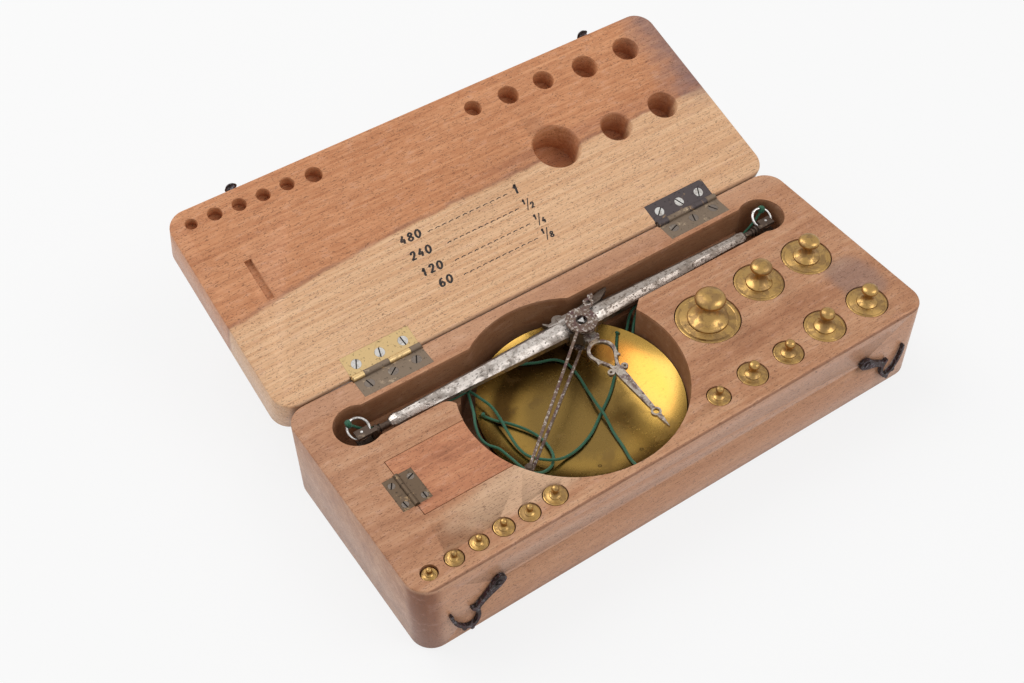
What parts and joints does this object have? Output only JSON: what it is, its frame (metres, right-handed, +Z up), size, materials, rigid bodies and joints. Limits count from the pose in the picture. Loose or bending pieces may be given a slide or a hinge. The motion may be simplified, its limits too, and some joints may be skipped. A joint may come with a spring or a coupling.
{
  "type": "boxed apothecary hand balance",
  "caption": "Equal-arm steel hand balance with nested brass pans on green silk cords, in a hinged wooden case with knob weights and a lidded compartment.",
  "frame": {"origin": "centre of the case's underside", "axes": "+X towards the right end of the case, +Y towards the lid's hinges, +Z up"},
  "size_m": [0.22, 0.1818, 0.0627],
  "materials": {
    "wood": "oiled fruitwood, satin",
    "flap_wood": "oiled reddish wood, satin",
    "brass": "polished and tarnished in patches",
    "old_brass": "dull patina",
    "steel": "bright with dark pitting",
    "brown_steel": "oxidised brown",
    "iron": "black, forged",
    "silk": "twisted green silk"
  },
  "bodies": {
    "base": {"case_base": "wood", "left_hinge_base_leaf": "old_brass", "right_hinge_base_leaf": "old_brass", "left_hinge_pin": "brass", "right_hinge_pin": "brass", "base_hinge_screws": "steel", "flap_hinge_fixed_leaf": "old_brass", "flap_hinge_pin": "old_brass", "flap_hinge_fixed_screws": "steel", "latch_pivot_screws": "iron"},
    "lid": {"case_lid": "wood", "left_hinge_lid_leaf": "brass", "right_hinge_lid_leaf": "old_brass", "lid_hinge_screws": "steel", "catch_studs": "iron"},
    "flap": {"compartment_flap": "flap_wood", "flap_hinge_moving_leaf": "old_brass", "flap_hinge_moving_screws": "steel"},
    "hook_left": {"latch_hook_left": "iron"},
    "hook_right": {"latch_hook_right": "iron"},
    "balance": {"beam": "steel", "central_knife": "steel", "end_fitting_left": "brown_steel", "end_fitting_right": "brown_steel", "end_knives": "steel", "end_ring_left": "steel", "end_ring_right": "steel", "pointer": "brown_steel", "upper_pan": "brass", "lower_pan": "brass", "cord_upper_front": "silk", "cord_upper_back": "silk", "cord_upper_left": "silk", "cord_lower_right": "silk", "cord_lower_left": "silk", "cord_lead_left": "silk", "cord_lead_right": "silk", "cord_knots": "silk", "ring_knots": "silk"},
    "fork": {"fork_upper_cheek": "brown_steel", "fork_lower_cheek": "brown_steel", "fork_head": "brown_steel"},
    "weight_100g": {"weight_100g": "brass"},
    "weight_50g_a": {"weight_50g_a": "brass"},
    "weight_50g_b": {"weight_50g_b": "brass"},
    "weight_20g_a": {"weight_20g_a": "brass"},
    "weight_20g_b": {"weight_20g_b": "brass"},
    "weight_10g_a": {"weight_10g_a": "brass"},
    "weight_10g_b": {"weight_10g_b": "brass"},
    "weight_5g_a": {"weight_5g_a": "brass"},
    "weight_5g_b": {"weight_5g_b": "brass"},
    "weight_3g_a": {"weight_3g_a": "brass"},
    "weight_3g_b": {"weight_3g_b": "brass"},
    "weight_2g_a": {"weight_2g_a": "brass"},
    "weight_2g_b": {"weight_2g_b": "brass"},
    "weight_1g": {"weight_1g": "brass"}
  },
  "joints": [
    {"name": "lid_hinge", "type": "hinge", "parent": "base", "child": "lid", "pos_m": [0, 0.04465, 0.03565], "axis": [-1, 0, 0], "range_deg": [-162.6, 17.4]},
    {"name": "flap_hinge", "type": "hinge", "parent": "base", "child": "flap", "pos_m": [-0.091, -0.0065, 0.03555], "axis": [0, -1, 0], "range_deg": [0, 170]},
    {"name": "left_hook_pivot", "type": "hinge", "parent": "base", "child": "hook_left", "pos_m": [-0.081, -0.0455, 0.0215], "axis": [0, -1, 0], "range_deg": [-129, 19]},
    {"name": "right_hook_pivot", "type": "hinge", "parent": "base", "child": "hook_right", "pos_m": [0.081, -0.0455, 0.0215], "axis": [0, 1, 0], "range_deg": [-120, 28]},
    {"name": "balance_lift", "type": "slide", "parent": "base", "child": "balance", "axis": [0, 0, 1], "range_m": [0, 0.06]},
    {"name": "fork_swing", "type": "hinge", "parent": "balance", "child": "fork", "pos_m": [0.0016, 0.0226, 0.029], "axis": [0, 0, 1], "range_deg": [-9, 9]},
    {"name": "weight_100g_lift", "type": "slide", "parent": "base", "child": "weight_100g", "axis": [0, 0, 1], "range_m": [0, 0.03]},
    {"name": "weight_50g_a_lift", "type": "slide", "parent": "base", "child": "weight_50g_a", "axis": [0, 0, 1], "range_m": [0, 0.024]},
    {"name": "weight_50g_b_lift", "type": "slide", "parent": "base", "child": "weight_50g_b", "axis": [0, 0, 1], "range_m": [0, 0.024]},
    {"name": "weight_20g_a_lift", "type": "slide", "parent": "base", "child": "weight_20g_a", "axis": [0, 0, 1], "range_m": [0, 0.0188]},
    {"name": "weight_20g_b_lift", "type": "slide", "parent": "base", "child": "weight_20g_b", "axis": [0, 0, 1], "range_m": [0, 0.0188]},
    {"name": "weight_10g_a_lift", "type": "slide", "parent": "base", "child": "weight_10g_a", "axis": [0, 0, 1], "range_m": [0, 0.0162]},
    {"name": "weight_10g_b_lift", "type": "slide", "parent": "base", "child": "weight_10g_b", "axis": [0, 0, 1], "range_m": [0, 0.0162]},
    {"name": "weight_5g_a_lift", "type": "slide", "parent": "base", "child": "weight_5g_a", "axis": [0, 0, 1], "range_m": [0, 0.0148]},
    {"name": "weight_5g_b_lift", "type": "slide", "parent": "base", "child": "weight_5g_b", "axis": [0, 0, 1], "range_m": [0, 0.0148]},
    {"name": "weight_3g_a_lift", "type": "slide", "parent": "base", "child": "weight_3g_a", "axis": [0, 0, 1], "range_m": [0, 0.0134]},
    {"name": "weight_3g_b_lift", "type": "slide", "parent": "base", "child": "weight_3g_b", "axis": [0, 0, 1], "range_m": [0, 0.0134]},
    {"name": "weight_2g_a_lift", "type": "slide", "parent": "base", "child": "weight_2g_a", "axis": [0, 0, 1], "range_m": [0, 0.0124]},
    {"name": "weight_2g_b_lift", "type": "slide", "parent": "base", "child": "weight_2g_b", "axis": [0, 0, 1], "range_m": [0, 0.0124]},
    {"name": "weight_1g_lift", "type": "slide", "parent": "base", "child": "weight_1g", "axis": [0, 0, 1], "range_m": [0, 0.0112]}
  ]
}
